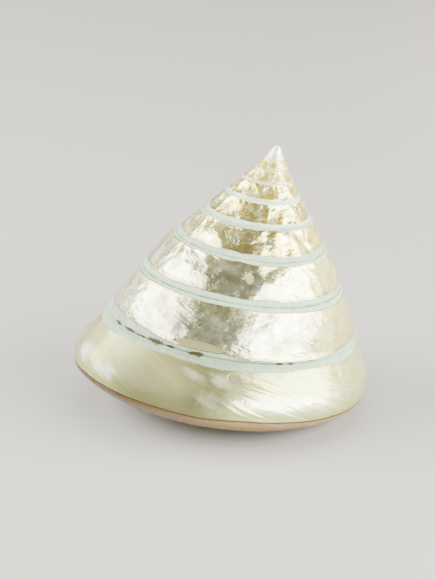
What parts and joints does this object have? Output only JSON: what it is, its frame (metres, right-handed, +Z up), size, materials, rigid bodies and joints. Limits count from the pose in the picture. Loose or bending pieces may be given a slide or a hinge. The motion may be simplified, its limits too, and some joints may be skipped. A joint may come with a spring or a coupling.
{
  "type": "pyramid top shell",
  "caption": "Polished mother-of-pearl top shell: steep right-handed conical spire with pale suture bands, flared body whorl, oblique aperture and hollow body chamber.",
  "frame": {"origin": "centre of the bounding box on the surface the shell rests on", "axes": "+Z up with the shell lying in its own resting pose; the spire leans towards +X; -Y is the side the picture shows; the aperture opens underneath at the back left"},
  "size_m": [0.0646, 0.0622, 0.0576],
  "materials": {
    "nacre": "polished mother of pearl, silver-white to cream"
  },
  "bodies": {
    "root": {"shell": "nacre"}
  },
  "joints": []
}
